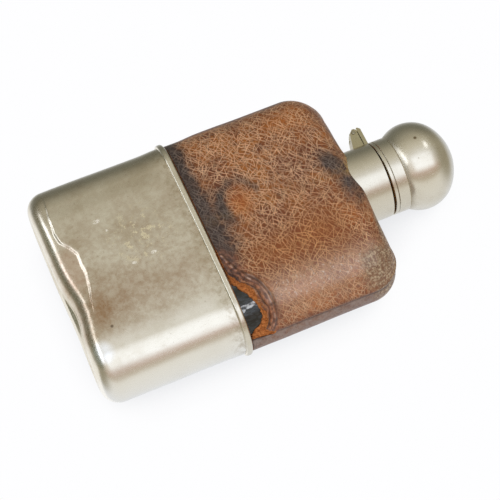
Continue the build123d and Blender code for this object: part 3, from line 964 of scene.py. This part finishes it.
def leather_fields(points, flat, torn):
    """The masks that the leather's shader reads, by name."""
    x, y, z = points.T
    s, run = flat.T
    front = smooth(2.0, -6.0, y)
    collar_gap = np.hypot(x, y) - NECK_HOLE
    roll, second = from_rolls(s, run)
    from_seam = np.minimum(s - s.min(), s.max() - s)
    edge = 0.8 * bump(run, LEATHER_FOOT, 0.5) + 0.95 * bump(from_seam, 0.0, 0.55)
    edge = edge + 0.6 * bump(collar_gap, 0.0, 0.5) * smooth(-2.0, 4.0, x)
    # The grooves of the folds are darkened as painted shade.
    if torn:
        edge = edge + 0.75 * tear_relief(s, run)[1]
    # Several masks carry painted light: a grey sheen on the sides and by the back seams, a sheen and glints
    # on the near roll, highlights on the fold crests, and shade in the fold grooves.
    return {
        "stain": stain_mask(x, z, run, front),
        "rubbed_and_sheen": np.clip(rubbed_and_sheen_mask(x, y, run), 0, 1),
        "fold": bump(roll, 0.0, 2.6) * torn,
        "painted_crest_highlight": (bump(roll, 0.0, 0.34) + 0.6 * bump(second, 0.0, 0.25)) * torn,
        "worn": worn_mask(x, z),
        "orange": np.clip(orange_mask(x, z), 0, 1) * front,
        "edge": np.clip(edge, 0, 1),
        "frayed": bump(collar_gap, 0.0, 0.7) * smooth(2.0, -4.0, x) * front,
        "gloss_and_sheen": np.clip(gloss_and_sheen_mask(x, run) * front, 0, 1),
        "dusk": smooth(-2.0, 10.0, x) * smooth(30.0, 22.0, x) * smooth(99.0, 92.0, z) * front,
        "dust_and_sheen": bump(from_seam, 0.0, 6.0) * (not torn),
    }


# ---- Dress the frame ----

plate_cup = silver_plate("silver_plate_cup", 0.22, marks=cup_marks)
plate_ball = silver_plate("silver_plate_ball", 0.19, marks=ball_marks)
plate_neck = silver_plate("silver_plate_neck", 0.22, 0.7, marks=neck_marks)
plate_plain = silver_plate("silver_plate", 0.22)
# The hinge's darker olive plate is painted shade for the dim room that its faces reflect.
plate_hinge = silver_plate("silver_plate_hinge", 0.26, 1.2, (186, 178, 148))
cup_lining = silver_plate("silver_plate_lining", 0.26, 0.9, (226, 212, 176))
brass = simple_metal("brass_inner", (150, 116, 62), (206, 170, 104), 0.22)
steel = simple_metal("steel_pin", (150, 144, 124), (190, 184, 160), 0.28)
grain = leather_grain()
suede = leather_suede()

FINISHES = (
    (plate_plain, "silver_plate", ("cup_bead", "seal_washer", "seal_rivet")),
    (plate_neck, "silver_plate", ("neck_collar", "swivel_ring", "cap_band")),
    (plate_hinge, "silver_plate", ("hinge_ears", "hinge_leaf")),
    (plate_ball, "silver_plate", ("cap_dome",)),
    (steel, "steel_pin", ("hinge_pin",)),
    (brass, "brass_inner", ("mouth_ring", "bayonet_sleeve", "retaining_ring", "cap_floor")),
    (dark_glass(), "dark_glass", ("glass_bottle",)),
    (cement(), "white_cement", ("collar_cement",)),
    (cork(), "cork", ("cork_seal",)),
)

for material, slot, nodes in FINISHES:
    for node in nodes:
        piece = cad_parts[node]
        piece.data.materials.clear()
        piece.data.materials.append(material)

cup = build_cup(plate_cup, cup_lining)
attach(cup, "cup")
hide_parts("cup_shell")

# The front half ends a seam's width short of the sides and the back half reaches round to it.
inset = SEAM + SEAM_GAP
overlap = SEAM - SEAM_GAP
front = build_leather("leather_front_cover", inset, 2 * QUARTER - inset, True, grain, suede)
back = build_leather("leather_back_cover", 2 * QUARTER - overlap, 4 * QUARTER + overlap, False, grain, suede)
for half, node in ((front, "leather_front"), (back, "leather_back")):
    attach(half, "bottle")
    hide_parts(node)


# ---- Table and floor ----

STAGE_SIZE = 1.6  # metres
TABLE_Y = HALF_DEPTH + 1.25
TABLE_Z = 60
FLOOR_Z = -0.2


def stage_material():
    """Glowing white, with a painted contact shadow where the flask touches it, and clear from behind or at a
    grazing angle.
    """
    material, s = new_material("white_table")
    shade = s.node("ShaderNodeAmbientOcclusion", {"samples": 8}, {"Distance": 0.02}).outputs["AO"]
    colour = s.mix(s.ramp(shade, 0.0, 0.72), rgb(222, 223, 226), rgb(254, 254, 255))
    glow = s.node("ShaderNodeEmission", None, {0: colour, 1: 1.0})
    clear = s.node("ShaderNodeBsdfTransparent")
    geometry = s.node("ShaderNodeNewGeometry").outputs
    facing = s.vector_math("DOT_PRODUCT", {0: geometry["Normal"], 1: geometry["Incoming"]})["Value"]
    seen = s.times(s.ramp(s.size(facing), 0.03, 0.22), s.minus(1.0, geometry["Backfacing"]))
    both = s.node("ShaderNodeMixShader", None, {0: seen, 1: clear.outputs[0], 2: glow.outputs[0]})
    s.node("ShaderNodeOutputMaterial", None, {0: both.outputs[0]})
    return material


def stage_plane(name, centre, turn, material):
    """A large square that only the camera sees."""
    bpy.ops.mesh.primitive_plane_add(size=STAGE_SIZE, location=[c * MM for c in centre], rotation=turn)
    plane = bpy.context.object
    plane.name = name
    plane.data.materials.append(material)
    plane.visible_diffuse = False
    plane.visible_glossy = False
    plane.visible_transmission = False
    plane.visible_shadow = False


white_table = stage_material()
stage_plane("table", (0, TABLE_Y, TABLE_Z), (math.pi / 2, 0, 0), white_table)
stage_plane("floor", (0, 0, FLOOR_Z), (0, 0, 0), white_table)


# ---- Light ----

# The room's colour by direction round Z, in degrees: 0 is -Y, in front of the face, and 90 is +X.
ROOM = (
    (-180, (226, 229, 234)),
    (-150, (220, 223, 228)),
    (-134, (200, 202, 204)),
    (-122, (150, 151, 144)),
    (-108, (117, 117, 108)),
    (-90, (117, 116, 103)),
    (-74, (138, 135, 121)),
    (-50, (177, 172, 155)),
    (-26, (206, 202, 188)),
    (0, (226, 226, 224)),
    (40, (226, 217, 210)),
    (48, (196, 172, 160)),
    (56, (184, 168, 152)),
    (66, (186, 176, 158)),
    (76, (226, 224, 217)),
    (180, (226, 229, 234)),
)


def room_colour(s, turn):
    """The room's colour at a direction round Z."""
    bands = s.node("ShaderNodeValToRGB", None, {0: s.math("DIVIDE", s.plus(turn, 180.0), 360.0)})
    elements = bands.color_ramp.elements
    elements[0].position, elements[1].position = 0.0, 1.0
    elements[0].color, elements[1].color = rgb(*ROOM[0][1]), rgb(*ROOM[-1][1])
    for degrees, colour in ROOM[1:-1]:
        elements.new((degrees + 180) / 360).color = rgb(*colour)
    return bands.outputs[0]


def soft_box(s, directions, centre, half_size, edge):
    """1 inside a rectangle of directions, fading over its edge. All angles are in degrees."""
    inside = 1.0
    for angle, middle, half in zip(directions, centre, half_size):
        away = s.size(s.minus(angle, middle))
        inside = s.times(inside, s.ramp(away, half - edge, half + edge, 1.0, 0.0))
    return inside


def studio():
    """White to the camera; to surfaces, a soft box overhead, dim walls and the pale table behind."""
    world = bpy.data.worlds.new("studio")
    bpy.context.scene.world = world
    world.use_nodes = True
    s = Shader(world.node_tree)
    x, y, z = s.axes(s.node("ShaderNodeTexCoord").outputs["Generated"])
    turn = s.math("DEGREES", s.math("ARCTAN2", x, s.times(y, -1.0)))
    rise = s.math("DEGREES", s.math("ARCSINE", z))
    way = (turn, rise)

    # The walls, with a dark patch low down in front and the table behind.
    walls = s.mix(s.ramp(s.size(rise), 36.0, 74.0), room_colour(s, turn), rgb(158, 152, 134))
    walls = s.mix(soft_box(s, way, (-30.0, -68.0), (62.0, 14.0), 5.0), walls, rgb(122, 124, 108))
    walls = s.mix(soft_box(s, way, (-160.0, -42.0), (28.0, 38.0), 8.0), walls, rgb(255, 255, 255))

    # The light boxes over them.
    overhead = soft_box(s, way, (20.0, 6.0), (20.0, 36.0), 8.0)
    lamp = soft_box(s, way, (-22.0, 36.0), (9.0, 3.0), 2.5)
    low_box = soft_box(s, way, (-30.0, -47.0), (38.0, 5.0), 3.0)
    light = s.mix(s.larger(s.larger(overhead, low_box), lamp), walls, rgb(241, 246, 255))
    gain = s.plus(1.0, s.times(overhead, 0.34))
    gain = s.plus(gain, s.times(low_box, 1.7))
    gain = s.plus(gain, s.times(lamp, 1.6))

    seen = s.node("ShaderNodeBackground", None, {0: rgb(253, 253, 255), 1: 1.0})
    lit = s.node("ShaderNodeBackground", None, {0: light, 1: gain})
    camera_ray = s.node("ShaderNodeLightPath").outputs["Is Camera Ray"]
    both = s.node("ShaderNodeMixShader", None, {0: camera_ray, 1: lit.outputs[0], 2: seen.outputs[0]})
    s.node("ShaderNodeOutputWorld", None, {0: both.outputs[0]})


studio()


# ---- Camera ----

scene = bpy.context.scene
scene.view_settings.view_transform = "Standard"

camera_data = bpy.data.cameras.new("camera")
camera_data.lens = 115.2
camera_data.sensor_width = 36.0
camera_data.clip_start = 0.01
camera = bpy.data.objects.new("camera", camera_data)
scene.collection.objects.link(camera)

# The picture's own axes in the frame, and where the camera stands in millimetres.
right = Vector((0.39685, 0.00434, 0.91787))
down = Vector((0.82224, 0.44276, -0.35759))
forward = Vector((-0.40795, 0.89663, 0.17214))
stand = Vector((226.38, -482.24, -28.40))
turn = Matrix((right, -down, -forward)).transposed().to_4x4()
camera.matrix_world = Matrix.Translation(stand * MM) @ turn
scene.camera = camera
